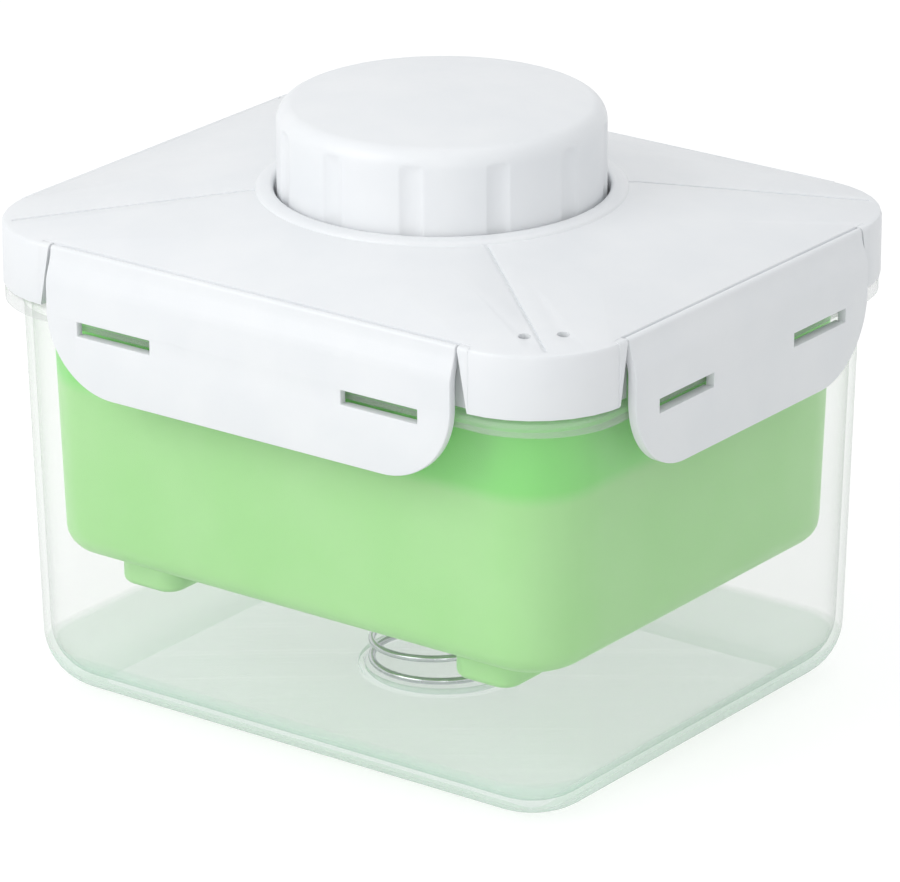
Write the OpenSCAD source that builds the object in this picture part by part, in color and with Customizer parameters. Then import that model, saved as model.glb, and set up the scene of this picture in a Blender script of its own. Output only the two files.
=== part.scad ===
// Screw-type tofu press: a spring-borne basket in a clear tub, pressed by a plate
// on a threaded stem that the knob turns in the lid. Four flaps latch the lid.
// Millimetres. Origin: centre of the tub's underside, +Z up, +X along the long side.

/* [Tub] */
// Outer length of the tub at its rim, along X
tub_l = 143; // [138:1:170]
// Outer width of the tub at its rim, along Y
tub_w = 120; // [115:1:150]
// Height of the tub's rim above the table
tub_h = 98; // [92:1:120]
// Wall of the tub
tub_wall = 1.5; // [1.2:0.1:2.2]
// Floor of the tub
tub_floor = 2.5; // [2:0.1:4]
// Corner radius of the tub at its rim
tub_corner_r = 19; // [16:0.5:26]
// How far each wall leans in from the rim down to the base
tub_draft = 2.6; // [1:0.1:4]
// Rounding between the walls and the underside
tub_base_r = 13; // [8:0.2:14.8]
// Thickness of the latching flange round the tub
flange_t = 2.8; // [1.4:0.1:3]
// Corner radius of that flange
flange_corner_r = 20; // [17:0.5:24]
// Depth of the flange's underside below the rim
flange_drop = 12.9; // [11:0.1:16]

/* [Spring] */
// Mean radius of the coil
spring_r = 15; // [11:0.5:20]
// Diameter of the spring wire
wire_d = 1.5; // [1:0.1:2.2]
// Full turns that work between the closed end turns
spring_turns = 4; // [3:1:6]
// Gap that keeps each end of the spring off its seat
spring_gap = 0.3; // [0.3:0.1:0.6]
// Width of the moulded ring that keeps the spring central
seat_ring_t = 1.3; // [0.8:0.1:2]
// Height of that ring
seat_ring_h = 1.6; // [1:0.1:3]

/* [Basket] */
// Gap between the basket's walls and the tub's walls at the rim
basket_gap = 4; // [3:0.1:7]
// Height of the basket's underside above the table
basket_z = 30.5; // [26:0.5:36]
// Height of the basket from underside to rim
basket_h = 60.5; // [50:0.5:61]
// Wall of the basket
basket_wall = 1.8; // [1.2:0.1:2.4]
// Floor of the basket
basket_floor = 2; // [1.6:0.1:3]
// Corner radius of the basket at its rim
basket_corner_r = 14.5; // [10:0.5:20]
// How far each wall of the basket leans in
basket_draft = 2; // [1:0.1:3]
// Rounding between the basket's walls and its underside
basket_base_r = 5; // [3:0.5:8]
// Width of the basket's rim outside its walls
basket_rim_w = 1; // [0.5:0.1:1.6]
// Height of the basket's rim
basket_rim_h = 2; // [1.4:0.1:3]
// Side of each square foot under the basket
foot_w = 15; // [10:0.5:18]
// Height of each foot
foot_h = 6.5; // [3:0.5:7]
// Inset of each foot from the basket's left and right walls at their base
foot_inset_x = 13.8; // [9:0.1:16]
// Inset of each foot from the basket's front and back walls at their base
foot_inset_y = 7; // [6.5:0.1:14]
// Radius of each drain hole
drain_r = 1.5; // [1:0.1:2]
// Spacing of the drain holes
drain_pitch = 14; // [10:1:18]

/* [Press plate] */
// Gap between the plate's edge and the basket at its rim
plate_gap = 3; // [2:0.1:4.4]
// Height of the plate's underside above the table
plate_z = 62.5; // [56:0.5:64]
// Thickness of the plate
plate_t = 2.2; // [1.8:0.1:3]
// Height of the plate's rim above its underside
plate_rim_h = 5.5; // [4:0.1:5.6]
// Thickness of the rim and the ribs
plate_rib_t = 1.6; // [1.2:0.1:2.4]
// Outer radius of the hub that holds the stem's foot
hub_r = 13; // [12.5:0.1:16]
// Height of the hub above the plate's top
hub_h = 9.3; // [8.7:0.1:9.8]

/* [Stem] */
// Radius of the stem over its thread
stem_r = 11; // [9:0.1:11.6]
// Running clearance of the stem in the lid's neck
stem_fit = 0.08; // [0.04:0.01:0.1]
// Radius of the stem's foot
stem_foot_r = 9.2; // [8.6:0.1:9.6]
// Thickness of the stem's foot
stem_foot_t = 3; // [2:0.1:3.2]
// Radius of the stem's waist above its foot
stem_waist_r = 7; // [6.2:0.1:7.6]
// Radius of the bore up the stem from below
stem_bore_r = 4.6; // [4.2:0.1:5]
// Thickness of the web that the screw pulls on
stem_web_t = 2.5; // [2:0.1:4]
// Corner radius of the six-sided drive under the knob
drive_r = 8; // [6.5:0.1:8.4]
// Length of the six-sided drive
drive_l = 22; // [14:0.5:26]
// Advance of the screw for one turn
thread_lead = 8; // [4:0.5:12]
// Thickness of the thrust washer
washer_t = 1; // [0.6:0.1:1.4]
// Thickness of the retaining clip
clip_t = 1.6; // [1.2:0.1:1.8]
// Width of the clip's mouth
clip_mouth = 9; // [7:0.5:11]
// Radius of the screw's head
screw_head_r = 3.5; // [3:0.1:4]
// Height of the screw's head
screw_head_h = 2.4; // [1.8:0.1:3]
// Radius of the screw's shank
screw_r = 1.5; // [1.2:0.1:1.8]
// Length of the screw under its head
screw_l = 14; // [10:0.5:16]

/* [Knob] */
// Outer radius of the knob
knob_r = 33.5; // [30:0.5:38]
// Height of the knob's top edge above the table
knob_z = 125.6; // [124:0.2:132]
// Rise of the dome over the knob's top edge
knob_dome = 2; // [1:0.1:4]
// Wall of the knob
knob_wall = 2; // [1.6:0.1:3]
// Width of the bevel round the knob's top
knob_bevel_w = 2.5; // [1:0.1:4]
// Height of the bevel
knob_bevel_h = 2.9; // [1:0.1:4]
// Number of grip grooves
groove_count = 12; // [6:1:24]
// Width of each grip groove
groove_w = 4.7; // [2:0.1:6]
// Depth of each grip groove
groove_d = 0.6; // [0.3:0.05:1]
// Turn of the first groove from +X
groove_phase = -3.7; // [-15:0.1:15]

/* [Lid] */
// How far the lid's corner skirts stand outside the tub's walls at the rim
lid_overhang = 3.5; // [3.2:0.1:6]
// Thickness of the lid
lid_t = 2; // [1.6:0.1:3]
// Rise of the lid's four sloping faces from its edge to the collar
lid_rise = 5.3; // [3:0.1:8]
// Depth of the corner skirts below the lid's edge
skirt_h = 13.2; // [8:0.1:13.6]
// Wall of the corner skirts
skirt_t = 1.6; // [1.2:0.1:2]
// Gap between the knob and the wall of its well
well_gap = 0.7; // [0.5:0.1:2]
// Wall of the well, and of its floor
well_wall = 2; // [1.6:0.1:2.6]
// Depth of the well below the collar's top
well_depth = 22.5; // [20:0.1:22.7]
// Width of the collar round the well
collar_w = 3.7; // [3:0.1:5]
// Height of the collar's crest above the sloping faces
collar_h = 1; // [0.6:0.1:2]
// Distance of that crest from the well
collar_crest = 0.8; // [0.5:0.1:1.2]
// Wall of the threaded neck
neck_wall = 2.9; // [2:0.1:4]
// Height of the neck above the well's floor
neck_h = 18; // [12:0.5:18]
// Depth of the ring that plugs into the tub
plug_h = 6; // [4:0.1:6.6]
// Thickness of the plug ring
plug_t = 1.2; // [1:0.1:1.6]
// Gap between the plug ring and the tub
plug_gap = 0.4; // [0.3:0.05:0.8]
// Height of the gasket
gasket_h = 2.1; // [1.6:0.1:2.6]
// Width of the gasket
gasket_w = 3.1; // [2.4:0.1:3.4]
// Width of the grooves on the lid's diagonals
seam_w = 0.8; // [0.4:0.1:1.2]
// Depth of those grooves
seam_d = 0.5; // [0.2:0.1:0.8]
// Radius of each pour hole
pour_r = 1.25; // [1:0.05:1.6]
// Inset of the pour holes from the lid's rounded corner
pour_inset = 8.7; // [8.6:0.1:11]
// Half the angle between the two pour holes
pour_angle = 16.5; // [12:0.5:24]

/* [Flaps] */
// Thickness of the flaps
flap_t = 1.9; // [1.4:0.1:2.2]
// How far the flaps stand proud of the corner skirts
flap_out = 1.7; // [1.4:0.1:2.4]
// Length of the front and back flaps as a share of the lid's length
flap_long_share = 0.672; // [0.5:0.002:0.68]
// Length of the left and right flaps as a share of the lid's width
flap_short_share = 0.638; // [0.5:0.002:0.65]
// Drop of the flaps below the lid's edge
flap_h = 29.4; // [24:0.1:36]
// Radius of the flaps' lower corners
flap_corner_r = 16.5; // [8:0.5:18]
// Height over which a flap swells out from its hinge
shoulder_h = 7; // [4:0.5:10]
// Gap at each end of a flap
flap_end_gap = 2.8; // [0.8:0.1:4]
// Radius of the roll that a flap hangs from
roll_r = 0.8; // [0.6:0.05:0.9]
// Gap between a flap's roll and the lid's edge
hinge_gap = 0.1; // [0.1:0.05:0.3]
// Length of each slot
slot_l = 18.6; // [12:0.2:22]
// Height of each slot
slot_h = 3; // [2:0.1:3.6]
// Distance from a flap's end to its slot's centre
slot_inset = 17.2; // [16:0.2:24]
// Depth of the catch under each slot
catch_d = 0.55; // [0.4:0.05:0.55]
// Height of the catch
catch_h = 2.2; // [1.6:0.1:3]
// Gap between the flaps and the tub's flange
flange_gap = 0.65; // [0.65:0.05:0.9]
// Gap between the catch and the flange above it
catch_gap = 0.25; // [0.25:0.05:0.4]

/* [Hidden] */
$fn = 96;
eps = 0.01;
corner_steps = 8;
fillet_steps = 5;

// Lid outline, and its heights counted up from the tub's rim
lid_l = tub_l + 2 * lid_overhang;
lid_w = tub_w + 2 * lid_overhang;
lid_corner_r = tub_corner_r + lid_overhang - 0.5;
lid_under_z = tub_h + gasket_h;
lid_edge_z = lid_under_z + lid_t;
lid_peak_z = lid_edge_z + lid_rise;
skirt_z = lid_edge_z - skirt_h;
edge_r = 0.9;

// Well and neck in the lid's middle
collar_z = lid_peak_z + collar_h;
well_r = knob_r + well_gap;
peak_r = well_r + collar_w + 0.8;
well_floor_z = collar_z - well_depth;
bore_r = stem_r + stem_fit;
neck_r = stem_r + neck_wall;

// Plug ring inside the tub's rim
plug_clear = tub_wall + plug_gap + 0.1;
plug_l = tub_l - 2 * plug_clear;
plug_w = tub_w - 2 * plug_clear;
plug_r = tub_corner_r - plug_clear + 0.1;

// Flaps and the flange they latch under
flap_long = lid_l * flap_long_share;
flap_short = lid_w * flap_short_share;
flap_in = flap_out - flap_t;
flange_l = lid_l + 2 * (flap_in - flange_gap);
flange_w = lid_w + 2 * (flap_in - flange_gap);
flange_z = tub_h - flange_drop;
roll_z = lid_edge_z - roll_r;
catch_z = flange_z - catch_gap;

// Basket, plate and spring
basket_l = tub_l - 2 * (tub_wall + basket_gap);
basket_w = tub_w - 2 * (tub_wall + basket_gap);
basket_top_z = basket_z + basket_h;
plate_l = basket_l - 2 * (basket_wall + plate_gap);
plate_w = basket_w - 2 * (basket_wall + plate_gap);
plate_corner_r = basket_corner_r - basket_wall - plate_gap / 2;
foot_x = basket_l / 2 - basket_draft - foot_inset_x - foot_w / 2;
foot_y = basket_w / 2 - basket_draft - foot_inset_y - foot_w / 2;
foot_edge_r = 1.5;
foot_corner_r = 4;
spring_z0 = tub_floor + spring_gap + wire_d / 2;
spring_z1 = basket_z - spring_gap - wire_d / 2;
seat_r = spring_r + wire_d / 2 + 0.7;

// Stem, knob and what holds them
hub_floor_z = plate_z + plate_t;
hub_top_z = hub_floor_z + hub_h;
hub_bore_r = stem_foot_r + 0.3;
foot_z = hub_floor_z + washer_t;
clip_z = foot_z + stem_foot_t + 0.25;
clip_in_r = stem_waist_r + 0.3;
clip_out_r = hub_bore_r + 1.1;
stem_body_z = hub_top_z + 0.6;
knob_crown_t = knob_wall + 1.6;
knob_under_z = knob_z - knob_crown_t;
knob_foot_z = collar_z - 4.5;
drive_z = knob_under_z - drive_l;
web_z = drive_z - 1 - stem_web_t;

// One ring of points: a rounded rectangle at height z
function ring(l, w, r, z) = [
    for (q = [0:3], i = [0:corner_steps])
        let (a = 90 * (q + i / corner_steps),
             sx = (q == 0 || q == 3) ? 1 : -1,
             sy = q < 2 ? 1 : -1)
        [sx * (l / 2 - r) + r * cos(a), sy * (w / 2 - r) + r * sin(a), z]];

// A skin over rings of equal length, closed at both ends
module loft(rings) {
    n = len(rings[0]);
    last = len(rings) - 1;
    polyhedron(
        points = [for (each_ring = rings) each each_ring],
        faces = concat(
            [[for (i = [0:n - 1]) i]],
            [[for (i = [n - 1:-1:0]) last * n + i]],
            [for (k = [0:last - 1], i = [0:n - 1])
                let (j = (i + 1) % n)
                [k * n + i, (k + 1) * n + i, (k + 1) * n + j, k * n + j]]));
}

// Rings of a tray's outside: an arc at the base, then a straight leaning wall
function tray(l, w, r, base_r, draft, z0, z1) = concat(
    [for (i = [0:fillet_steps])
        let (a = 90 * i / fillet_steps,
             inset = draft + base_r * (1 - sin(a)))
        ring(l - 2 * inset, w - 2 * inset, max(r - inset, 1), z0 + base_r * (1 - cos(a)))],
    [ring(l, w, r, z1)]);

// A straight block with rounded corners
module block(l, w, r, z0, z1) {
    translate([0, 0, z0]) linear_extrude(z1 - z0)
        polygon([for (p = ring(l, w, r, 0)) [p[0], p[1]]]);
}

// A flat ring between two rounded rectangles
module frame(l, w, r, t, z0, z1) {
    difference() {
        block(l, w, r, z0, z1);
        block(l - 2 * t, w - 2 * t, r - t, z0 - 1, z1 + 1);
    }
}

// A round tube on the Z axis
module tube(r_out, r_in, z0, z1) {
    translate([0, 0, z0]) difference() {
        cylinder(r = r_out, h = z1 - z0);
        translate([0, 0, -1]) cylinder(r = r_in, h = z1 - z0 + 2);
    }
}

module tub() {
    color([0.86, 0.9, 0.88, 0.35]) {
        difference() {
            union() {
                loft(tray(tub_l, tub_w, tub_corner_r, tub_base_r, tub_draft, 0, tub_h));
                block(flange_l, flange_w, flange_corner_r, flange_z, flange_z + flange_t);
            }
            loft(tray(tub_l - 2 * tub_wall, tub_w - 2 * tub_wall, tub_corner_r - tub_wall,
                      tub_base_r - tub_wall, tub_draft, tub_floor, tub_h + eps));
        }
        tube(seat_r + seat_ring_t, seat_r, tub_floor - 0.5, tub_floor + seat_ring_h);
    }
}

// Height of the wire's centre after t turns: closed ends, even pitch between
function coil_z(t) =
    let (close = wire_d + 0.2,
         pitch = (spring_z1 - spring_z0 - 2 * close) / spring_turns)
    t < 1 ? spring_z0 + close * t
          : t < 1 + spring_turns ? spring_z0 + close + pitch * (t - 1)
          : spring_z1 - close * (2 + spring_turns - t);

module spring() {
    sides = 8;
    per_turn = 20;
    count = (spring_turns + 2) * per_turn;
    color([0.72, 0.73, 0.75])
        loft([for (k = [0:count])
            let (turn = k / per_turn, a = 360 * turn, z = coil_z(turn))
            [for (i = [0:sides - 1])
                let (b = -360 * i / sides, r = spring_r + wire_d / 2 * cos(b))
                [r * cos(a), r * sin(a), z + wire_d / 2 * sin(b)]]]);
}

module foot() {
    loft([for (i = [0:3])
        let (a = 30 * i, inset = foot_edge_r * (1 - sin(a)))
        ring(foot_w - 2 * inset, foot_w - 2 * inset, foot_corner_r - inset,
             foot_edge_r * (1 - cos(a)))]);
    block(foot_w, foot_w, foot_corner_r, foot_edge_r, foot_h + 0.5);
}

module basket() {
    reach_x = floor((foot_x + foot_w / 2) / drain_pitch);
    reach_y = floor((foot_y + foot_w / 2) / drain_pitch);
    color([0.5, 0.86, 0.45, 0.7]) difference() {
        union() {
            loft(tray(basket_l, basket_w, basket_corner_r, basket_base_r, basket_draft,
                      basket_z, basket_top_z));
            block(basket_l + 2 * basket_rim_w, basket_w + 2 * basket_rim_w,
                  basket_corner_r + basket_rim_w, basket_top_z - basket_rim_h, basket_top_z);
            for (sx = [-1, 1], sy = [-1, 1])
                translate([sx * foot_x, sy * foot_y, basket_z - foot_h]) foot();
        }
        loft(tray(basket_l - 2 * basket_wall, basket_w - 2 * basket_wall,
                  basket_corner_r - basket_wall, basket_base_r - basket_wall, basket_draft,
                  basket_z + basket_floor, basket_top_z + eps));
        for (i = [-reach_x:reach_x], j = [-reach_y:reach_y])
            if (abs(i * drain_pitch) < foot_x - foot_w / 2 - drain_r
                || abs(j * drain_pitch) < foot_y - foot_w / 2 - drain_r)
                translate([i * drain_pitch, j * drain_pitch, basket_z - 1])
                    cylinder(r = drain_r, h = basket_floor + 2, $fn = 24);
    }
}

module press_plate() {
    rim_z = plate_z + plate_rim_h;
    color([0.94, 0.95, 0.96]) difference() {
        union() {
            block(plate_l, plate_w, plate_corner_r, plate_z, hub_floor_z);
            frame(plate_l, plate_w, plate_corner_r, plate_rib_t, plate_z, rim_z);
            intersection() {
                block(plate_l, plate_w, plate_corner_r, plate_z, rim_z);
                for (a = [0, 90, atan2(plate_w, plate_l), -atan2(plate_w, plate_l)])
                    rotate(a) translate([-plate_l, -plate_rib_t / 2, plate_z])
                        cube([2 * plate_l, plate_rib_t, plate_rim_h]);
            }
            translate([0, 0, plate_z]) cylinder(r = hub_r, h = hub_top_z - plate_z);
        }
        translate([0, 0, hub_floor_z]) cylinder(r = hub_bore_r, h = hub_h + 1);
        translate([0, 0, clip_z]) cylinder(r = clip_out_r + 0.2, h = clip_t + 0.1);
    }
}

module plate_clip() {
    color([0.75, 0.77, 0.8]) difference() {
        tube(clip_out_r, clip_in_r, clip_z, clip_z + clip_t);
        translate([0, -clip_mouth / 2, clip_z - 1]) cube([2 * clip_out_r, clip_mouth, clip_t + 2]);
    }
}

module thrust_washer() {
    color([0.85, 0.84, 0.8]) tube(stem_foot_r, stem_bore_r, hub_floor_z, foot_z);
}

module stem() {
    color([0.93, 0.94, 0.95]) difference() {
        union() {
            translate([0, 0, foot_z]) cylinder(r = stem_foot_r, h = stem_foot_t);
            translate([0, 0, foot_z]) cylinder(r = stem_waist_r, h = stem_body_z - foot_z + 1);
            translate([0, 0, stem_body_z]) cylinder(r = stem_r, h = knob_under_z - stem_body_z);
        }
        translate([0, 0, foot_z - 1]) cylinder(r = stem_bore_r, h = web_z - foot_z + 1);
        translate([0, 0, web_z - 1]) cylinder(r = screw_r + 0.3, h = stem_web_t + 2, $fn = 48);
        translate([0, 0, web_z + stem_web_t])
            cylinder(r = drive_r + 0.1, h = knob_under_z - web_z, $fn = 6);
    }
}

module stem_screw() {
    color([0.7, 0.71, 0.73]) {
        translate([0, 0, web_z - screw_head_h]) difference() {
            cylinder(r = screw_head_r, h = screw_head_h, $fn = 48);
            for (a = [0, 90]) rotate(a) translate([-2, -0.45, -1]) cube([4, 0.9, 2.2]);
        }
        translate([0, 0, web_z - eps]) cylinder(r = screw_r, h = screw_l, $fn = 48);
    }
}

// Half profile of the knob's shell, dome on top
module knob_profile() {
    dome_r = knob_r - knob_bevel_w;
    sphere_r = (dome_r * dome_r + knob_dome * knob_dome) / (2 * knob_dome);
    intersection() {
        union() {
            polygon([[knob_r - knob_wall, knob_foot_z], [knob_r, knob_foot_z],
                     [knob_r, knob_z - knob_bevel_h], [dome_r, knob_z], [0, knob_z],
                     [0, knob_under_z], [knob_r - knob_wall, knob_under_z]]);
            intersection() {
                translate([0, knob_z + knob_dome - sphere_r]) circle(sphere_r, $fn = 360);
                translate([0, knob_z - 1]) square([dome_r, knob_dome + 2]);
            }
        }
        translate([0, knob_foot_z - 1]) square([2 * knob_r, knob_z]);
    }
}

module knob() {
    cutter_r = (groove_w * groove_w / 4 + groove_d * groove_d) / (2 * groove_d);
    groove_top = knob_z - knob_bevel_h;
    color([0.96, 0.97, 0.98]) difference() {
        union() {
            rotate_extrude() knob_profile();
            translate([0, 0, drive_z])
                cylinder(r = drive_r, h = knob_under_z - drive_z + 1, $fn = 6);
        }
        for (i = [0:groove_count - 1]) rotate(groove_phase + 360 * i / groove_count)
            translate([knob_r + cutter_r - groove_d, 0, knob_foot_z - 1])
                cylinder(r = cutter_r, h = groove_top - knob_foot_z + 1, $fn = 64);
        translate([0, 0, drive_z - 1]) cylinder(r = screw_r + 0.03, h = screw_l, $fn = 48);
    }
}

// The four spans along the lid's edge where the flaps hang
module flap_spans(z0, z1) {
    long_cut = flap_long + 2 * flap_end_gap;
    short_cut = flap_short + 2 * flap_end_gap;
    reach = 2 * roll_r + hinge_gap;
    for (s = [-1, 1]) {
        translate([-long_cut / 2, s * (lid_w / 2 - reach + 5) - 5, z0])
            cube([long_cut, 10, z1 - z0]);
        translate([s * (lid_l / 2 - reach + 5) - 5, -short_cut / 2, z0])
            cube([10, short_cut, z1 - z0]);
    }
}

// The nearly round outline in which the lid's four faces meet the collar
function peak(z) = ring(2 * peak_r, 2 * peak_r, peak_r - 3, z);

// Rings of the lid's outside: upright skirts, a soft edge, then four faces up to the collar
function roof() = [
    ring(lid_l, lid_w, lid_corner_r, skirt_z),
    ring(lid_l, lid_w, lid_corner_r, lid_edge_z - edge_r),
    ring(lid_l - 0.6 * edge_r, lid_w - 0.6 * edge_r, lid_corner_r - 0.3 * edge_r,
         lid_edge_z - 0.3 * edge_r),
    ring(lid_l - 2 * edge_r, lid_w - 2 * edge_r, lid_corner_r - edge_r, lid_edge_z),
    peak(lid_peak_z)];

// Rings of the hollow under the roof
function hollow() =
    let (l = plug_l - 2 * plug_t - 1, w = plug_w - 2 * plug_t - 1, r = plug_r - plug_t - 0.5)
    [ring(l, w, r, lid_under_z - 1), ring(l, w, r, lid_under_z + 0.4), peak(lid_peak_z - lid_t)];

// Half section of the lid's middle: round collar, well wall, well floor and threaded neck
function well_section() = concat(
    [[bore_r, well_floor_z - well_wall], [well_r + well_wall, well_floor_z - well_wall],
     [well_r + well_wall, lid_peak_z - lid_t / 2], [well_r + collar_w, lid_peak_z - lid_t / 2]],
    [for (a = [0:15:90])
        [well_r + collar_crest + (collar_w - collar_crest) * cos(a),
         lid_peak_z + collar_h * sin(a)]],
    [for (a = [30:30:90])
        [well_r + collar_crest * (1 - sin(a)), collar_z - collar_crest * (1 - cos(a))]],
    [[well_r, well_floor_z], [neck_r, well_floor_z], [neck_r, well_floor_z + neck_h],
     [bore_r, well_floor_z + neck_h]]);

module pour_holes() {
    corner = [lid_l / 2 - lid_corner_r, -(lid_w / 2 - lid_corner_r)];
    for (s = [-1, 1])
        translate(corner) rotate(-45 + s * pour_angle)
            translate([lid_corner_r - pour_inset, 0, lid_under_z - 1])
                cylinder(r = pour_r, h = lid_rise + lid_t + 2, $fn = 32);
}

// Thin grooves from the collar out to the four corners
module seams() {
    diagonal = norm([lid_l, lid_w]) / 2 - lid_corner_r * (sqrt(2) - 1);
    fall = atan2(lid_rise, diagonal - peak_r - 1);
    for (s = [-1, 1], t = [0, 180])
        rotate(t + s * atan2(lid_w, lid_l)) translate([diagonal, 0, lid_edge_z])
            rotate([0, fall, 0]) translate([-diagonal + well_r, -seam_w / 2, -seam_d])
                cube([diagonal - well_r - 2, seam_w, 4]);
}

module lid() {
    color([0.95, 0.96, 0.97]) {
        difference() {
            loft(roof());
            block(lid_l - 2 * skirt_t, lid_w - 2 * skirt_t, lid_corner_r - skirt_t, skirt_z - 1,
                  lid_under_z);
            loft(hollow());
            flap_spans(skirt_z - 1, lid_edge_z + 2);
            translate([0, 0, well_floor_z]) cylinder(r = well_r + 0.5, h = well_depth + 5);
            seams();
            pour_holes();
        }
        frame(plug_l, plug_w, plug_r, plug_t, lid_under_z - plug_h, lid_under_z + 0.3);
        rotate_extrude() polygon(well_section());
    }
}

module lid_gasket() {
    color([0.9, 0.92, 0.93])
        frame(plug_l + 0.1 + 2 * gasket_w, plug_w + 0.1 + 2 * gasket_w, plug_r + gasket_w,
              gasket_w, tub_h, lid_under_z);
}

// Outline of a flap in its own plane: X along the hinge, Y up, hinge line at zero
module flap_outline(l) {
    drop = flap_h - roll_r;
    difference() {
        translate([-l / 2, -drop]) square([l, drop + roll_r]);
        for (s = [-1, 1]) scale([s, 1])
            translate([l / 2 - flap_corner_r, -drop]) difference() {
                translate([0, -1]) square([flap_corner_r + 1, flap_corner_r + 1]);
                translate([0, flap_corner_r]) circle(flap_corner_r);
            }
        for (s = [-1, 1])
            translate([s * (l / 2 - slot_inset) - slot_l / 2, catch_z - roll_z])
                square([slot_l, slot_h]);
    }
}

// Section across a flap, Y inwards and Z up: roll, swelling shoulder, straight plate
function swell(t) = (1 - cos(180 * t)) / 2;
module flap_section() {
    steps = 6;
    circle(roll_r, $fn = 32);
    polygon(concat(
        [for (i = [0:steps])
            [-roll_r - flap_out * swell(i / steps), -shoulder_h * i / steps]],
        [[-roll_r - flap_out, roll_r - flap_h], [-roll_r - flap_in, roll_r - flap_h]],
        [for (i = [steps:-1:0])
            [roll_r - (2 * roll_r + flap_in) * swell(i / steps), -shoulder_h * i / steps]]));
}

// One flap hanging from its roll, inner face towards +Y
module flap(l) {
    color([0.96, 0.97, 0.98]) {
        intersection() {
            translate([-l / 2 - 1, 0, 0]) rotate([90, 0, 90]) linear_extrude(l + 2) flap_section();
            rotate([90, 0, 0]) translate([0, 0, -5]) linear_extrude(20) flap_outline(l);
        }
        for (s = [-1, 1])
            translate([s * (l / 2 - slot_inset) - slot_l / 2, -roll_r - flap_in - eps,
                       catch_z - roll_z])
                rotate([90, 0, 90]) linear_extrude(slot_l)
                    polygon([[0, 0], [catch_d + eps, 0], [catch_d + eps, -0.6], [0, -catch_h]]);
    }
}

module flap_front() { translate([0, -(lid_w / 2 - roll_r), roll_z]) flap(flap_long); }
module flap_back() { translate([0, lid_w / 2 - roll_r, roll_z]) rotate(180) flap(flap_long); }
module flap_right() { translate([lid_l / 2 - roll_r, 0, roll_z]) rotate(90) flap(flap_short); }
module flap_left() { translate([-(lid_l / 2 - roll_r), 0, roll_z]) rotate(-90) flap(flap_short); }

tub();
spring();
basket();
press_plate();
plate_clip();
thrust_washer();
stem();
stem_screw();
knob();
lid();
lid_gasket();
flap_front();
flap_back();
flap_left();
flap_right();
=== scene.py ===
"""Looks of a screw-type tofu press: clear tub, green basket on a spring, white latching lid and knob.

Every piece stands where its CAD node stands. Lengths are metres; MM turns millimetres into metres.
"""

import math

import bmesh
import bpy
from mathutils import Matrix, Vector


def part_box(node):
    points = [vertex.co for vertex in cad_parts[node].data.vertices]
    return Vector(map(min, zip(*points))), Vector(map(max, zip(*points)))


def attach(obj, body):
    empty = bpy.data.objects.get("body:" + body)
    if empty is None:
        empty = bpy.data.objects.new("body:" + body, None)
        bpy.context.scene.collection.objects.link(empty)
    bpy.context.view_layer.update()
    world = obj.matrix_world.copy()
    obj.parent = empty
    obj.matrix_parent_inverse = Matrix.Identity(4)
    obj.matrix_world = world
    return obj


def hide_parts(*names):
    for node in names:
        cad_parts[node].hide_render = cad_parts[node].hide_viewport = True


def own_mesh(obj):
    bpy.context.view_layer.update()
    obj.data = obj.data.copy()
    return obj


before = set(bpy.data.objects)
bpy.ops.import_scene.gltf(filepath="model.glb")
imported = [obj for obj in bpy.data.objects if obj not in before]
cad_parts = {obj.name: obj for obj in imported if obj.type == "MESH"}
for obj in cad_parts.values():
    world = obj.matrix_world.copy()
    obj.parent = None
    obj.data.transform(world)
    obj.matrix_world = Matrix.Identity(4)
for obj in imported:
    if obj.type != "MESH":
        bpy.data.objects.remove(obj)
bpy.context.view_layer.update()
MM = 0.001

# Camera, fitted to the outlines in the photograph
CAMERA_AZIMUTH = 36.83
CAMERA_ELEVATION = 20.32
CAMERA_DISTANCE = 1296.4 * MM
CAMERA_ROLL = -0.22
PHOTO_WIDTH = 900
PHOTO_HEIGHT = 882
FOCAL_PIXELS = 6319.6
AXIS_PIXEL = (442.9, 405.5)
SENSOR_MM = 36.0
CLIP_END = 20
MIDDLE = (0, 0, 60 * MM)

# Lamps: name, place, width, height and watts. Each one faces MIDDLE.
LAMPS = (
    ("key", (-0.45, -1.15, 0.78), 0.9, 0.9, 7.0),
    ("strip", (0.72, -0.96, 0.55), 0.16, 1.1, 1.3),
    ("top", (0.2, 0.3, 1.45), 1.0, 1.0, 1.9),
)
WORLD_COLOUR, WORLD_STRENGTH = (0.97, 0.985, 1.0, 1), 0.70
WHITE_COLOUR = (1, 1, 1, 1)

# Floor: half its width, its colour for the light it throws back, and its colour and glow as it is seen
FLOOR_HALF, SEEN_GLOW = 4.0, 0.74
FLOOR_COLOUR, SEEN_COLOUR = (0.80, 0.80, 0.80, 1), (0.38, 0.38, 0.38, 1)

# Tub
TUB_L, TUB_W, TUB_H = 143 * MM, 120 * MM, 98 * MM
TUB_WALL, TUB_FLOOR, TUB_R = 1.5 * MM, 2.5 * MM, 19 * MM
TUB_DRAFT, TUB_BASE_R = 2.6 * MM, 13 * MM
FLANGE_L, FLANGE_W, FLANGE_R = 148.3 * MM, 125.3 * MM, 20 * MM
FLANGE_Z, FLANGE_T = 85.1 * MM, 2.8 * MM
SEAT_R, SEAT_T, SEAT_H, SEAT_FOOT = 16.45 * MM, 1.3 * MM, 1.6 * MM, 1.2 * MM

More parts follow.
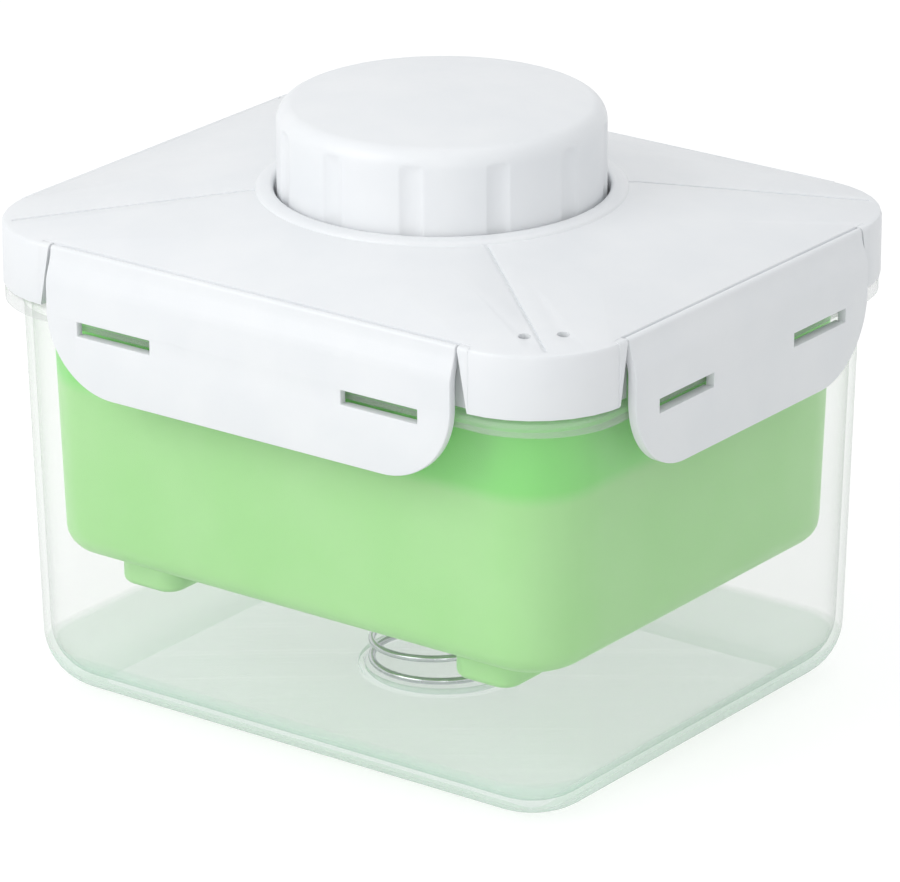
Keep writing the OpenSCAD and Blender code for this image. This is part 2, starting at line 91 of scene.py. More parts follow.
# Lid: its edge, and the corner skirts that end beside the flaps
LID_L, LID_W = 150 * MM, 127 * MM
LID_EDGE_Z, SKIRT_Z, SKIRT_T = 102.1 * MM, 88.9 * MM, 1.7 * MM
LONG_FLAP, SHORT_FLAP = 100.8 * MM, 81.03 * MM
END_GAP, TOP_GAP, GAP_POWER = 2.8 * MM, 0.45 * MM, 1.3
SKIRT_SOFT, END_LAP = 0.9 * MM, 0.2 * MM
HINGE_IN, HINGE_REACH, HINGE_DROP = 1.2 * MM, 0.9 * MM, 0.5 * MM

# Thin ribs inside the skirts, behind the gaps at the flaps' ends
TONGUE_IN, TONGUE_T, TONGUE_DROP = 2.3 * MM, 0.6 * MM, 1 * MM
TONGUE_REACH, TONGUE_LAP = 5.2 * MM, 2 * MM

# Knob: its shell, the grooves that fade out at its shoulder, and the six-sided drive
KNOB_R, KNOB_WALL, KNOB_FOOT_Z, KNOB_TOP_Z = 33.5 * MM, 2 * MM, 103.9 * MM, 127.6 * MM
SHOULDER_Z, SHOULDER_W, SHOULDER_H = 121.6 * MM, 3.6 * MM, 4.0 * MM
DOME_RISE, CROWN_T = 2 * MM, 3.6 * MM
KNOB_UNDER_Z = KNOB_TOP_Z - DOME_RISE - CROWN_T
KNOB_EDGE, KNOB_CORNER, KNOB_CENTRE_R = 0.5 * MM, 1.5 * MM, 0.5 * MM
DOME_SHARES = (0.995, 0.97, 0.93, 0.85, 0.75, 0.62, 0.48, 0.34, 0.2, 0.08, 0.01)
GROOVES, GROOVE_W, GROOVE_D, GROOVE_PHASE = 12, 4.7 * MM, 0.6 * MM, -3.7
GROOVE_END, GROOVE_FADE, GROOVE_POWER = 1.2 * MM, 1.6 * MM, 0.75
DRIVE_SIDES, DRIVE_R, DRIVE_Z, DRIVE_EDGE, DRIVE_LAP = 6, 8 * MM, 100 * MM, 0.4 * MM, 0.5 * MM

# Spring: SPRING_TURNS open turns between two closed ones
SPRING_R, WIRE_D, SPRING_TURNS, COIL_GAP = 15 * MM, 1.5 * MM, 4, 0.2 * MM

# Stem, and its right-hand thread
STEM_R, STEM_FOOT_R, STEM_WAIST_R, STEM_BORE_R = 11 * MM, 9.2 * MM, 7 * MM, 4.6 * MM
STEM_FOOT_Z, STEM_FOOT_T, STEM_BODY_Z, WEB_Z = 65.7 * MM, 3 * MM, 74.6 * MM, 96.5 * MM
STEM_CENTRE_R, BODY_CHAMFERS = 0.4 * MM, (0.8 * MM, 0.5 * MM)
THREAD_DEPTH, THREAD_LEAD, THREAD_STARTS = 0.9 * MM, 8 * MM, 2
THREAD_FADE, THREAD_FLANK, THREAD_RING, FIRST_RING = 1.2 * MM, 0.2, 0.35 * MM, 0.3

# Heights between which the plastics change their tone and haze; the basket's lighter tone below its
# heights is painted light
BASE_LOW_Z, BASE_HIGH_Z = 9.1 * MM, 9.9 * MM
FLANGE_LOW_Z, FLANGE_HIGH_Z = FLANGE_Z - 0.2 * MM, FLANGE_Z + 0.2 * MM
BASKET_PAINTED_LIGHT_LOW_Z, BASKET_PAINTED_LIGHT_HIGH_Z = 67 * MM, 70 * MM

# Materials: how late a wall turns opaque as it slants away, and the part of the noise's range over
# which a tone or a value goes from low to high
PLASTIC_IOR, SLANT_BLEND, SLANT_POWER = 1.49, 0.5, 4.0
TONE_SPAN, VALUE_SPAN = (0.35, 0.65), (0.3, 0.7)

# A colour Mix node has sockets of each kind under the same names, so these are counted
MIX_A, MIX_B, MIX_RESULT = 6, 7, 2

# CAD meshes: points closer than CAD_JOIN are joined, and faces that meet at less than FLAT_ANGLE.
# Edges sharper than ROUNDED_ANGLE are rounded, beside the hinges by a share only, and edges that stay
# sharper than SHADED_ANGLE are shaded sharp
CAD_JOIN, FLAT_ANGLE, ROUNDED_ANGLE, SHADED_ANGLE = 0.002 * MM, 1.0, 32, 45
BEVEL_SEGMENTS, HINGE_SHARE = 3, 0.2

# Rebuilt meshes: the usual rounding, and the distance over which points join
EDGE_SOFT, LOFT_JOIN = 0.3 * MM, 0.001 * MM

# Rebuilt meshes: steps round a corner and along a side, and points round a ring
CORNER_STEPS, FILLET_STEPS, WALL_STEPS, LIP_STEPS = 36, 12, 12, 6
UNDER_STEPS, FOOT_STEPS, SIDE_STEPS, SHOULDER_STEPS, SKIRT_STEPS = 5, 4, 12, 14, 5
KNOB_POINTS, STEM_POINTS, WIRE_POINTS, POINTS_PER_TURN = 720, 120, 14, 64


# ---------------------------------------------------------------- mesh helpers

def ring(length, width, radius, z):
    """A rounded rectangle's points at height z, counted from +X round to +Y."""
    points = []
    for corner in range(4):
        side_x = 1 if corner in (0, 3) else -1
        side_y = 1 if corner < 2 else -1
        for i in range(CORNER_STEPS + 1):
            a = math.radians(90 * (corner + i / CORNER_STEPS))
            points.append((side_x * (length / 2 - radius) + radius * math.cos(a),
                           side_y * (width / 2 - radius) + radius * math.sin(a), z))
    return points


def round_ring(radius, z, count, depth=None):
    """A circle of count points, pulled in by depth(angle in degrees, z)."""
    points = []
    for i in range(count):
        a = 360 * i / count
        r = radius - (depth(a, z) if depth else 0)
        points.append((r * math.cos(math.radians(a)), r * math.sin(math.radians(a)), z))
    return points


def arc(steps, start, end):
    """Angles in radians, evenly spaced from start to end degrees."""
    return [math.radians(start + (end - start) * i / steps) for i in range(steps + 1)]


def clamp(value):
    """The value, held between 0 and 1."""
    return min(max(value, 0), 1)


def new_object(name, data):
    """An object in the scene that holds a mesh, a lamp or a camera."""
    obj = bpy.data.objects.new(name, data)
    bpy.context.scene.collection.objects.link(obj)
    return obj


def smooth(mesh, angle):
    """Smooth shading that keeps edges sharper than angle."""
    mesh.shade_smooth()
    mesh.set_sharp_from_angle(angle=math.radians(angle))


def loft(name, rings, angle):
    """A closed skin over rings with equally many points, smooth up to angle."""
    count = len(rings[0])
    points = [p for one in rings for p in one]
    faces = []
    for k in range(len(rings) - 1):
        for i in range(count):
            j = (i + 1) % count
            faces.append((k * count + i, k * count + j, (k + 1) * count + j, (k + 1) * count + i))
    last = (len(rings) - 1) * count
    faces.append(tuple(reversed(range(count))))
    faces.append(tuple(last + i for i in range(count)))
    mesh = bpy.data.meshes.new(name)
    mesh.from_pydata(points, [], faces)
    mesh.validate()
    cleaned = bmesh.new()
    cleaned.from_mesh(mesh)
    bmesh.ops.remove_doubles(cleaned, verts=cleaned.verts, dist=LOFT_JOIN)
    bmesh.ops.recalc_face_normals(cleaned, faces=cleaned.faces)
    cleaned.to_mesh(mesh)
    cleaned.free()
    smooth(mesh, angle)
    return new_object(name, mesh)


def apply_modifiers(obj):
    """Bakes an object's modifiers into its mesh."""
    depsgraph = bpy.context.evaluated_depsgraph_get()
    mesh = bpy.data.meshes.new_from_object(obj.evaluated_get(depsgraph))
    obj.modifiers.clear()
    obj.data = mesh


def beside_hinge(point):
    """Whether a point lies on the lid's edge or a flap's top, where they meet."""
    from_long_side = abs(abs(point.y) - (LID_W / 2 - HINGE_IN))
    from_short_side = abs(abs(point.x) - (LID_L / 2 - HINGE_IN))
    on_long_side = from_long_side < HINGE_REACH and abs(point.x) < LONG_FLAP / 2
    on_short_side = from_short_side < HINGE_REACH and abs(point.y) < SHORT_FLAP / 2
    return point.z > LID_EDGE_Z - HINGE_DROP and (on_long_side or on_short_side)


def softened(name, node, width):
    """A copy of a CAD node's mesh with its sharp edges rounded, least beside the hinges."""
    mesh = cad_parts[node].data.copy()
    mesh.name = name
    mesh.materials.clear()
    cleaned = bmesh.new()
    cleaned.from_mesh(mesh)
    bmesh.ops.remove_doubles(cleaned, verts=cleaned.verts, dist=CAD_JOIN)
    bmesh.ops.dissolve_limit(cleaned, angle_limit=math.radians(FLAT_ANGLE), verts=cleaned.verts,
                             edges=cleaned.edges)
    weight = cleaned.edges.layers.float.new("bevel_weight_edge")
    for edge in cleaned.edges:
        if edge.calc_face_angle(0) > math.radians(ROUNDED_ANGLE):
            middle = (edge.verts[0].co + edge.verts[1].co) / 2
            edge[weight] = HINGE_SHARE if beside_hinge(middle) else 1.0
    cleaned.to_mesh(mesh)
    cleaned.free()
    obj = new_object(name, mesh)
    bevel = obj.modifiers.new("edges", "BEVEL")
    bevel.width = width
    bevel.segments = BEVEL_SEGMENTS
    bevel.limit_method = "WEIGHT"
    bevel.use_clamp_overlap = True
    apply_modifiers(obj)
    smooth(obj.data, SHADED_ANGLE)
    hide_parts(node)
    return obj


# ---------------------------------------------------------------- materials

def add_node(tree, kind, **values):
    """A new node, with each value set on the input or the setting of that name."""
    made = tree.nodes.new(kind)
    for key, value in values.items():
        if key in made.inputs:
            made.inputs[key].default_value = value
        else:
            setattr(made, key, value)
    return made


def calculate(tree, operation, first, second):
    """A Math node's result for a link and a link or a number."""
    made = add_node(tree, "ShaderNodeMath", operation=operation)
    tree.links.new(first, made.inputs[0])
    if isinstance(second, float):
        made.inputs[1].default_value = second
    else:
        tree.links.new(second, made.inputs[1])
    return made.outputs["Value"]


def show_instead(tree, usual, seen, output):
    """Gives the output the seen shader for what is looked at, and the usual one for all other light.

    Looked at means by the camera, in a reflection or through clear plastic.
    """
    rays = add_node(tree, "ShaderNodeLightPath").outputs
    looked_at = calculate(tree, "MAXIMUM", rays["Is Camera Ray"], rays["Is Glossy Ray"])
    looked_at = calculate(tree, "MAXIMUM", looked_at, rays["Is Transmission Ray"])
    mix = add_node(tree, "ShaderNodeMixShader")
    tree.links.new(looked_at, mix.inputs["Fac"])
    tree.links.new(usual, mix.inputs[1])
    tree.links.new(seen, mix.inputs[2])
    tree.links.new(mix.outputs["Shader"], tree.nodes[output].inputs["Surface"])


class Look:
    """One material with a Principled shader and short ways to add to it."""

    def __init__(self, name, **inputs):
        self.material = bpy.data.materials.new(name)
        self.material.use_nodes = True
        self.tree = self.material.node_tree
        self.shader = self.tree.nodes["Principled BSDF"]
        for key, value in inputs.items():
            self.shader.inputs[key.replace("_", " ")].default_value = value

    def node(self, kind, **values):
        """A new node in this material."""
        return add_node(self.tree, kind, **values)

    def link(self, source, target):
        """Joins an output to an input."""
        self.tree.links.new(source, target)

    def position(self):
        """A point's place in object space, which is the shared frame at rest."""
        return self.node("ShaderNodeTexCoord").outputs["Object"]

    def noise(self, scale, detail=3.0, stretch=None):
        """Noise in object space, features of about 1 / scale metres."""
        texture = self.node("ShaderNodeTexNoise", Scale=scale, Detail=detail)
        place = self.position()
        if stretch:
            mapping = self.node("ShaderNodeMapping", Scale=stretch)
            self.link(place, mapping.inputs["Vector"])
            place = mapping.outputs["Vector"]
        self.link(place, texture.inputs["Vector"])
        return texture.outputs["Fac"]

    def remap(self, fac, low, high, span=VALUE_SPAN):
        """A number that goes from low to high as fac goes from one end of span to the other."""
        made = self.node("ShaderNodeMapRange")
        start, end = span
        for key, value in (("From Min", start), ("From Max", end), ("To Min", low), ("To Max", high)):
            made.inputs[key].default_value = value
        self.link(fac, made.inputs["Value"])
        return made.outputs["Result"]

    def by_height(self, low_z, high_z, below, above):
        """A number that goes from below to above as the height goes from low_z to high_z."""
        axes = self.node("ShaderNodeSeparateXYZ")
        self.link(self.position(), axes.inputs["Vector"])
        return self.remap(axes.outputs["Z"], below, above, (low_z, high_z))

    def tint(self, fac, colour):
        """Multiplies the base colour by colour where fac is one."""
        mix = self.node("ShaderNodeMix", data_type="RGBA", blend_type="MULTIPLY")
        before = self.shader.inputs["Base Color"].links[0].from_socket
        self.link(fac, mix.inputs["Factor"])
        self.link(before, mix.inputs[MIX_A])
        mix.inputs[MIX_B].default_value = (*colour, 1)
        self.link(mix.outputs[MIX_RESULT], self.shader.inputs["Base Color"])

    def colour(self, low, high, scale):
        """A base colour that drifts between two tones."""
        made = self.node("ShaderNodeValToRGB")
        first, second = made.color_ramp.elements
        first.position, first.color = TONE_SPAN[0], (*low, 1)
        second.position, second.color = TONE_SPAN[1], (*high, 1)
        self.link(self.noise(scale), made.inputs["Fac"])
        self.link(made.outputs["Color"], self.shader.inputs["Base Color"])

    def roughness(self, low, high, scale):
        """A roughness that drifts between two values."""
        self.link(self.remap(self.noise(scale), low, high), self.shader.inputs["Roughness"])

    def bump(self, height, strength, distance):
        """Relief from a height between 0 and 1, which stands for distance metres."""
        made = self.node("ShaderNodeBump", Strength=strength, Distance=distance)
        self.link(height, made.inputs["Height"])
        self.link(made.outputs["Normal"], self.shader.inputs["Normal"])

    def see_through(self, facing_alpha, slanted_alpha, slanted_tint=None, haze=()):
        """More opaque, and tinted, where the wall slants away and there is more of it to see through.

        Each row of haze adds to the alpha: low_z, high_z, what it adds below them and what above.
        """
        weight = self.node("ShaderNodeLayerWeight", Blend=SLANT_BLEND)
        slant = calculate(self.tree, "POWER", weight.outputs["Facing"], SLANT_POWER)
        if slanted_tint:
            self.tint(slant, slanted_tint)
        alpha = self.remap(slant, facing_alpha, slanted_alpha, (0.0, 1.0))
        for row in haze:
            alpha = calculate(self.tree, "ADD", alpha, self.by_height(*row))
        self.link(alpha, self.shader.inputs["Alpha"])


def white_plastic():
    """Satin white polypropylene with a fine spark-eroded grain."""
    look = Look("white_pp", IOR=PLASTIC_IOR, Subsurface_Weight=0.08, Subsurface_Scale=0.002,
                Subsurface_Radius=(1.0, 1.0, 1.0))
    look.colour((0.825, 0.842, 0.86), (0.853, 0.866, 0.88), scale=60)
    look.roughness(0.34, 0.46, scale=900)
    look.bump(look.noise(2600, detail=2.0), strength=0.06, distance=0.2 * MM)
    return look.material


def core_plastic():
    """Plainer white plastic of the plate and the stem."""
    look = Look("white_core", IOR=PLASTIC_IOR)
    look.colour((0.86, 0.88, 0.88), (0.90, 0.915, 0.92), scale=80)
    look.roughness(0.42, 0.55, scale=700)
    look.bump(look.noise(1800, detail=2.0), strength=0.08, distance=0.2 * MM)
    return look.material


def clear_plastic():
    """Frosted clear polypropylene, milkier at the base and tinted there by painted green light from
    the basket, and hazier above the flange.
    """
    look = Look("clear_pp", IOR=PLASTIC_IOR)
    look.colour((0.93, 0.95, 0.94), (0.955, 0.97, 0.965), scale=40)
    look.tint(look.by_height(BASE_LOW_Z, BASE_HIGH_Z, 0.0, 1.0), (0.9, 0.9, 0.9))
    # Painted green light on the base, as thrown onto it from the green basket
    look.tint(look.by_height(BASE_LOW_Z, BASE_HIGH_Z, 1.0, 0.0), (0.77, 1.0, 0.88))
    look.roughness(0.18, 0.24, scale=120)
    look.bump(look.noise(250, detail=1.0), strength=0.02, distance=0.1 * MM)
    look.see_through(0.055, 0.66, slanted_tint=(0.70, 0.71, 0.72), haze=(
        (BASE_LOW_Z, BASE_HIGH_Z, 0.17, 0.0), (FLANGE_LOW_Z, FLANGE_HIGH_Z, 0.0, 0.16)))
    return look.material


def green_plastic():
    """Translucent green polypropylene, deeper green above the press plate's height and painted lighter
    below it, as light thrown back by white contents behind the wall.
    """
    look = Look("green_pp", IOR=PLASTIC_IOR)
    look.colour((0.48, 0.94, 0.35), (0.52, 0.96, 0.39), scale=50)
    # Painted light: the wall is lighter below the plate's height, as if white contents behind it threw
    # light back through it
    look.tint(look.by_height(BASKET_PAINTED_LIGHT_LOW_Z, BASKET_PAINTED_LIGHT_HIGH_Z, 0.0, 1.0), (0.62, 1.0, 0.60))
    look.roughness(0.30, 0.38, scale=150)
    look.bump(look.noise(300, detail=1.0), strength=0.02, distance=0.1 * MM)
    look.see_through(0.80, 0.97)
    return look.material


def steel(name, tint, low, high):
    """Drawn or turned steel with streaks along it, its roughness between low and high."""
    look = Look(name, Metallic=1.0)
    look.colour(tuple(0.92 * c for c in tint), tint, scale=300)
    look.roughness(low, high, scale=1500)
    look.bump(look.noise(4000, detail=2.0, stretch=(1, 1, 0.2)), strength=0.05, distance=0.1 * MM)
    return look.material


def acetal():
    """Ivory acetal of the thrust washer."""
    look = Look("acetal", IOR=1.48)
    look.colour((0.80, 0.79, 0.74), (0.86, 0.85, 0.80), scale=120)
    look.roughness(0.35, 0.5, scale=800)
    look.bump(look.noise(2000), strength=0.05, distance=0.1 * MM)
    return look.material


def silicone():
    """Milky silicone of the gasket."""
    look = Look("silicone", IOR=1.41, Subsurface_Weight=0.2, Subsurface_Scale=0.003)
    look.colour((0.84, 0.86, 0.86), (0.9, 0.91, 0.91), scale=90)
    look.roughness(0.5, 0.62, scale=600)
    look.bump(look.noise(1500), strength=0.08, distance=0.1 * MM)
    return look.material


WHITE = white_plastic()
CORE = core_plastic()
CLEAR = clear_plastic()
GREEN = green_plastic()
WIRE = steel("spring_steel", (0.60, 0.62, 0.64), 0.16, 0.28)
ZINC = steel("zinc_steel", (0.74, 0.75, 0.77), 0.25, 0.4)
ACETAL = acetal()
SILICONE = silicone()


def dress(obj, material, body):
    """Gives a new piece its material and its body."""
    obj.data.materials.clear()
    obj.data.materials.append(material)
    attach(obj, body)


# ---------------------------------------------------------------- pieces

def tray(length, width, radius, base_r, base_z, top_z):
    """Rings up a leaning tray: an arc at the base, then the wall in even steps."""
    rings = []
    for a in arc(FILLET_STEPS, 0, 90):
        inset = TUB_DRAFT + base_r * (1 - math.sin(a))
        rings.append(ring(length - 2 * inset, width - 2 * inset, max(radius - inset, MM),
                          base_z + base_r * (1 - math.cos(a))))
    for i in range(1, WALL_STEPS + 1):
        z = base_z + base_r + (top_z - base_z - base_r) * i / WALL_STEPS
        inset = TUB_DRAFT * (1 - i / WALL_STEPS)
        rings.append(ring(length - 2 * inset, width - 2 * inset, radius - inset, z))
    return rings


def wall_ring(z, out=0.0):
    """The tub's outline at height z, where its wall leans in from the rim down, moved out by out."""
    inset = TUB_DRAFT * (TUB_H - z) / (TUB_H - TUB_BASE_R)
    return ring(TUB_L - 2 * inset + 2 * out, TUB_W - 2 * inset + 2 * out, TUB_R - inset + out, z)


def flange_ring(z, inset=0.0):
    """The flange's outline at height z, moved in by inset."""
    return ring(FLANGE_L - 2 * inset, FLANGE_W - 2 * inset, FLANGE_R - inset, z)


def make_tub():
    """Tub as one skin: outside, flange, rounded rim, inside, floor and the spring's seat ring."""
    outside = tray(TUB_L, TUB_W, TUB_R, TUB_BASE_R, 0, TUB_H)
    rings = [one for one in outside if one[0][2] < FLANGE_Z - 1 * MM]
    soft = EDGE_SOFT
    flange_top = FLANGE_Z + FLANGE_T
    rings += [wall_ring(FLANGE_Z - soft), wall_ring(FLANGE_Z, soft), flange_ring(FLANGE_Z, soft),
              flange_ring(FLANGE_Z + soft), flange_ring(flange_top - soft),
              flange_ring(flange_top, soft), wall_ring(flange_top, soft),
              wall_ring(flange_top + soft)]
    lip = TUB_WALL / 2
    for a in arc(LIP_STEPS, 0, 180):
        inset = lip * (1 - math.cos(a))
        rings.append(ring(TUB_L - 2 * inset, TUB_W - 2 * inset, TUB_R - inset,
                          TUB_H - lip + lip * math.sin(a)))
    inside = tray(TUB_L - 2 * TUB_WALL, TUB_W - 2 * TUB_WALL, TUB_R - TUB_WALL,
                  TUB_BASE_R - TUB_WALL, TUB_FLOOR, TUB_H - lip)
    rings += list(reversed(inside[:-1]))
    outer, inner, crest = SEAT_R + SEAT_T, SEAT_R, TUB_FLOOR + SEAT_H
    for radius, z in ((outer + SEAT_FOOT, TUB_FLOOR), (outer + soft, TUB_FLOOR),
                      (outer, TUB_FLOOR + soft), (outer, crest - soft), (outer - soft, crest),
                      (inner + soft, crest), (inner, crest - soft), (inner, TUB_FLOOR + soft),
                      (inner - soft, TUB_FLOOR)):
        rings.append(ring(2 * radius, 2 * radius, radius, z))
    obj = loft("tub_shell", rings, angle=40)
    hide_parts("tub")
    dress(obj, CLEAR, "container")


def flute(angle, z):
    """How deep the knob's side is grooved at an angle in degrees and a height."""
    step = 360 / GROOVES
    off = (angle - GROOVE_PHASE + step / 2) % step - step / 2
    across = math.radians(off) * KNOB_R / (GROOVE_W / 2)
    fade = clamp((SHOULDER_Z + GROOVE_END - z) / GROOVE_FADE)
    return GROOVE_D * max(0, 1 - across * across) ** GROOVE_POWER * fade * fade * (3 - 2 * fade)


def make_knob():
    """Hollow knob with a soft shoulder, a low dome and fluted sides, and the drive under it."""
    inner = KNOB_R - KNOB_WALL
    side_z = KNOB_FOOT_Z + KNOB_EDGE
    plain = [(KNOB_CENTRE_R, KNOB_UNDER_Z), (inner - KNOB_CORNER, KNOB_UNDER_Z)]
    corner = KNOB_CORNER
    plain += [(inner - corner * (1 - math.sin(a)), KNOB_UNDER_Z - corner * (1 - math.cos(a)))
              for a in arc(UNDER_STEPS, 0, 90)]
    plain += [(inner, side_z)]
    fluted = [(inner + KNOB_EDGE, KNOB_FOOT_Z)]
    fluted += [(KNOB_R - KNOB_EDGE * (1 - math.sin(a)), KNOB_FOOT_Z + KNOB_EDGE * (1 - math.cos(a)))
               for a in arc(FOOT_STEPS, 0, 90)]
    fluted += [(KNOB_R, side_z + (SHOULDER_Z - side_z) * i / SIDE_STEPS)
               for i in range(1, SIDE_STEPS + 1)]
    dome_r, dome_z = KNOB_R - SHOULDER_W, SHOULDER_Z + SHOULDER_H
    fluted += [(dome_r + SHOULDER_W * math.cos(a), SHOULDER_Z + SHOULDER_H * math.sin(a))
               for a in arc(SHOULDER_STEPS, 6, 84)]
    dome = [(dome_r * t, dome_z + (KNOB_TOP_Z - dome_z) * (1 - t * t)) for t in DOME_SHARES]
    rings = [round_ring(r, z, KNOB_POINTS) for r, z in plain]
    rings += [round_ring(r, z, KNOB_POINTS, flute) for r, z in fluted]
    rings += [round_ring(r, z, KNOB_POINTS) for r, z in dome]
    obj = loft("knob_shell", rings, angle=60)
    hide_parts("knob")
    dress(obj, WHITE, "screw")
    rings = [round_ring(r, z, DRIVE_SIDES) for r, z in (
        (DRIVE_R - DRIVE_EDGE, DRIVE_Z), (DRIVE_R, DRIVE_Z + DRIVE_EDGE),
        (DRIVE_R, KNOB_UNDER_Z + DRIVE_LAP))]
    dress(loft("knob_drive", rings, angle=30), WHITE, "screw")


def thread(angle, z):
    """The thread's depth below its crest: a rounded trapezoid that climbs with the angle."""
    turn = (z - STEM_BODY_Z) / THREAD_LEAD - angle / 360
    phase = (turn * THREAD_STARTS) % 1
    ends = min((z - STEM_BODY_Z) / THREAD_FADE, (KNOB_UNDER_Z - z) / THREAD_FADE, 1)
    dip = clamp((0.5 - abs(2 * phase - 1)) / THREAD_FLANK + 0.5)
    return THREAD_DEPTH * dip * dip * (3 - 2 * dip) * max(ends, 0)


def make_stem():
    """Stem with a two-start right-hand thread cut into it."""
    soft = EDGE_SOFT
    foot_top = STEM_FOOT_Z + STEM_FOOT_T
    rings = [round_ring(r, z, STEM_POINTS) for r, z in (
        (STEM_CENTRE_R, WEB_Z), (STEM_BORE_R, WEB_Z), (STEM_BORE_R, STEM_FOOT_Z + soft),
        (STEM_BORE_R + soft, STEM_FOOT_Z), (STEM_FOOT_R - soft, STEM_FOOT_Z),
        (STEM_FOOT_R, STEM_FOOT_Z + soft), (STEM_FOOT_R, foot_top - soft),
        (STEM_FOOT_R - soft, foot_top), (STEM_WAIST_R, foot_top),
        (STEM_WAIST_R, STEM_BODY_Z), (STEM_R - BODY_CHAMFERS[0], STEM_BODY_Z))]
    for i in range(int((KNOB_UNDER_Z - STEM_BODY_Z) / THREAD_RING)):
        chamfer = BODY_CHAMFERS[1] if i == 0 else 0
        rings.append(round_ring(STEM_R - chamfer, STEM_BODY_Z + THREAD_RING * (i + FIRST_RING),
                                STEM_POINTS, thread))
    rings.append(round_ring(STEM_R - soft, KNOB_UNDER_Z, STEM_POINTS))
    obj = loft("stem_body", rings, angle=50)
    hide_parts("stem")
    dress(obj, CORE, "screw")


def skirt_edge(half, z):
    """How far along the lid's side a skirt's end is at height z, for a flap of that half length."""
    drop = (LID_EDGE_Z - z) / (LID_EDGE_Z - SKIRT_Z)
    return half + TOP_GAP + (END_GAP - TOP_GAP) * drop ** GAP_POWER


def make_skirt_ends():
    """Ends of the corner skirts, close to the flaps at the top and further below, and the ribs behind.

    Points are (distance along the lid's side, distance out from it, height) until they are placed.
    """
    profile = [(0, SKIRT_Z + EDGE_SOFT), (-EDGE_SOFT, SKIRT_Z), (-SKIRT_T, SKIRT_Z),
               (-SKIRT_T, LID_EDGE_Z)]
    profile += [(-SKIRT_SOFT * (1 - math.cos(a)), LID_EDGE_Z - SKIRT_SOFT * (1 - math.sin(a)))
                for a in arc(SKIRT_STEPS, 90, 0)]
    rib_back, rib_top = -TONGUE_IN - TONGUE_T, LID_EDGE_Z - TONGUE_DROP
    rib = [(-TONGUE_IN, SKIRT_Z), (-TONGUE_IN, rib_top), (rib_back, rib_top), (rib_back, SKIRT_Z)]
    for name, half, reach, along_x in (("long", LONG_FLAP / 2, LID_W / 2, True),
                                       ("short", SHORT_FLAP / 2, LID_L / 2, False)):
        far = half + END_GAP
        shapes = (("skirt_end", [[(far + END_LAP, out, z) for out, z in profile],
                                 [(skirt_edge(half, z), out, z) for out, z in profile]]),
                  ("skirt_tongue", [[(far + TONGUE_LAP, out, z) for out, z in rib],
                                    [(far - TONGUE_REACH, out, z) for out, z in rib]]))
        for side, end in ((-1, -1), (-1, 1), (1, -1), (1, 1)):
            for shape, outlines in shapes:
                rings = []
                for outline in outlines:
                    placed = [(end * along, side * (reach + out), z) for along, out, z in outline]
                    rings.append(placed if along_x else [(y, x, z) for x, y, z in placed])
                obj = loft("%s_%s_%d%d" % (shape, name, side > 0, end > 0), rings, angle=30)
                dress(obj, WHITE, "lid")


def make_spring():
    """Round wire on the same coil as the CAD spring."""
    low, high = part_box("spring")
    foot_z, head_z = low.z + WIRE_D / 2, high.z - WIRE_D / 2
    close = WIRE_D + COIL_GAP
    pitch = (head_z - foot_z - 2 * close) / SPRING_TURNS
    turns = SPRING_TURNS + 2
    rings = []
    for k in range(turns * POINTS_PER_TURN + 1):
        t = k / POINTS_PER_TURN
        if t < 1:
            z = foot_z + close * t
        elif t < 1 + SPRING_TURNS:
            z = foot_z + close + pitch * (t - 1)
        else:
            z = head_z - close * (turns - t)
        a = 2 * math.pi * t
        one = []
        for i in range(WIRE_POINTS):
            b = 2 * math.pi * i / WIRE_POINTS
            radius = SPRING_R + WIRE_D / 2 * math.cos(b)
            one.append((radius * math.cos(a), radius * math.sin(a), z - WIRE_D / 2 * math.sin(b)))
        rings.append(one)
    obj = loft("spring_coil", rings, angle=60)
    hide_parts("spring")
    dress(obj, WIRE, "container")
    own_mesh(obj)


def make_inner_parts():
    """Inner pieces that keep their CAD shape."""
    for node, material in (("plate_clip", ZINC), ("thrust_washer", ACETAL), ("stem_screw", ZINC)):
        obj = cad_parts[node]
        obj.data.materials.clear()
        obj.data.materials.append(material)


def make_softened_parts():
    """Pieces whose CAD shape is right and whose edges only need rounding."""
    for name, node, width, material, body, slot in (
            ("lid_shell", "lid", 0.35 * MM, WHITE, "lid", "white_pp"),
            ("front_flap", "flap_front", 0.35 * MM, WHITE, "flap_front", "white_pp"),
            ("back_flap", "flap_back", 0.35 * MM, WHITE, "flap_back", "white_pp"),
            ("left_flap", "flap_left", 0.35 * MM, WHITE, "flap_left", "white_pp"),
            ("right_flap", "flap_right", 0.35 * MM, WHITE, "flap_right", "white_pp"),
            ("plate_body", "press_plate", 0.3 * MM, CORE, "plate", "white_core"),
            ("gasket", "lid_gasket", 0.5 * MM, SILICONE, "lid", "silicone"),
            ("basket_shell", "basket", 0.3 * MM, GREEN, "basket", "green_pp")):
        dress(softened(name, node, width), material, body)


# ---------------------------------------------------------------- stage

def make_floor():
    """Pale floor that takes the object's shadow and reads as white to the camera."""
    mesh = bpy.data.meshes.new("floor")
    half = FLOOR_HALF
    mesh.from_pydata([(-half, -half, 0), (half, -half, 0), (half, half, 0), (-half, half, 0)], [],
                     [(0, 1, 2, 3)])
    floor = new_object("floor", mesh)
    look = Look("floor", Base_Color=FLOOR_COLOUR, Roughness=0.9)
    shade = look.node("ShaderNodeBsdfDiffuse", Color=SEEN_COLOUR)
    glow = look.node("ShaderNodeEmission", Color=WHITE_COLOUR, Strength=SEEN_GLOW)
    both = look.node("ShaderNodeAddShader")
    look.link(shade.outputs["BSDF"], both.inputs[0])
    look.link(glow.outputs["Emission"], both.inputs[1])
    show_instead(look.tree, look.shader.outputs["BSDF"], both.outputs["Shader"], "Material Output")
    mesh.materials.append(look.material)


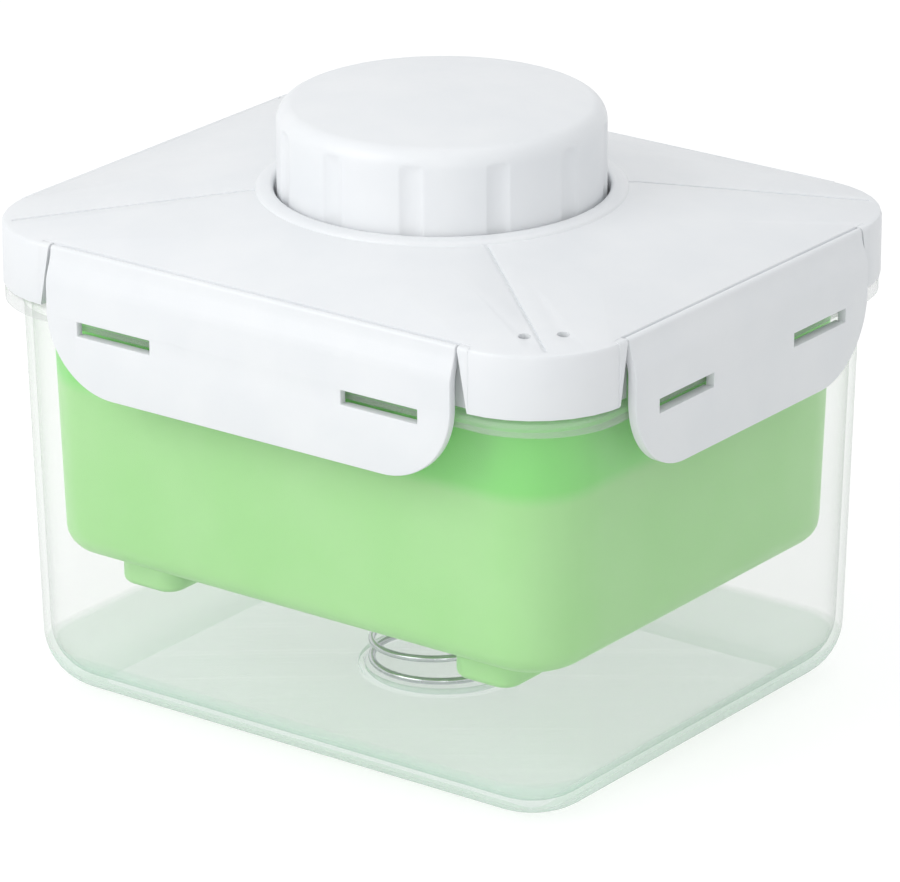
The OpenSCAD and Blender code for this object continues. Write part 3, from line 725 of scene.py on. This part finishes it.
def make_world():
    """Even pale surroundings that are seen as white."""
    world = bpy.data.worlds.new("studio")
    bpy.context.scene.world = world
    world.use_nodes = True
    tree = world.node_tree
    light = tree.nodes["Background"]
    light.inputs["Color"].default_value = WORLD_COLOUR
    light.inputs["Strength"].default_value = WORLD_STRENGTH
    white = add_node(tree, "ShaderNodeBackground", Color=WHITE_COLOUR, Strength=1.0)
    show_instead(tree, light.outputs["Background"], white.outputs["Background"], "World Output")


def make_lamps():
    """Rectangular lamps, each turned towards the object's middle."""
    for name, place, width, height, watts in LAMPS:
        light = bpy.data.lights.new(name, "AREA")
        light.energy = watts
        light.shape = "RECTANGLE"
        light.size, light.size_y = width, height
        lamp = new_object(name, light)
        lamp.location = place
        towards = Vector(MIDDLE) - Vector(place)
        lamp.rotation_euler = towards.to_track_quat("-Z", "Y").to_euler()


def make_camera():
    """Perspective camera at the photograph's viewing angle."""
    a, e = math.radians(CAMERA_AZIMUTH), math.radians(CAMERA_ELEVATION)
    back = Vector((math.sin(a) * math.cos(e), -math.cos(a) * math.cos(e), math.sin(e)))
    right = Vector((math.cos(a), math.sin(a), 0))
    up = back.cross(right)
    turn = math.radians(CAMERA_ROLL)
    right, up = (math.cos(turn) * right + math.sin(turn) * up,
                 math.cos(turn) * up - math.sin(turn) * right)
    data = bpy.data.cameras.new("camera")
    data.sensor_width = SENSOR_MM
    data.lens = FOCAL_PIXELS / PHOTO_WIDTH * SENSOR_MM
    data.shift_x = (PHOTO_WIDTH / 2 - AXIS_PIXEL[0]) / PHOTO_WIDTH
    data.shift_y = (AXIS_PIXEL[1] - PHOTO_HEIGHT / 2) / PHOTO_WIDTH
    data.clip_end = CLIP_END
    camera = new_object("camera", data)
    place = Vector(MIDDLE) + CAMERA_DISTANCE * back
    camera.matrix_world = Matrix((
        (right.x, up.x, back.x, place.x),
        (right.y, up.y, back.y, place.y),
        (right.z, up.z, back.z, place.z),
        (0, 0, 0, 1)))
    bpy.context.scene.camera = camera


make_tub()
make_spring()
make_inner_parts()
make_softened_parts()
make_knob()
make_stem()
make_skirt_ends()
make_floor()
make_world()
make_lamps()
make_camera()
bpy.context.scene.view_settings.view_transform = "Standard"
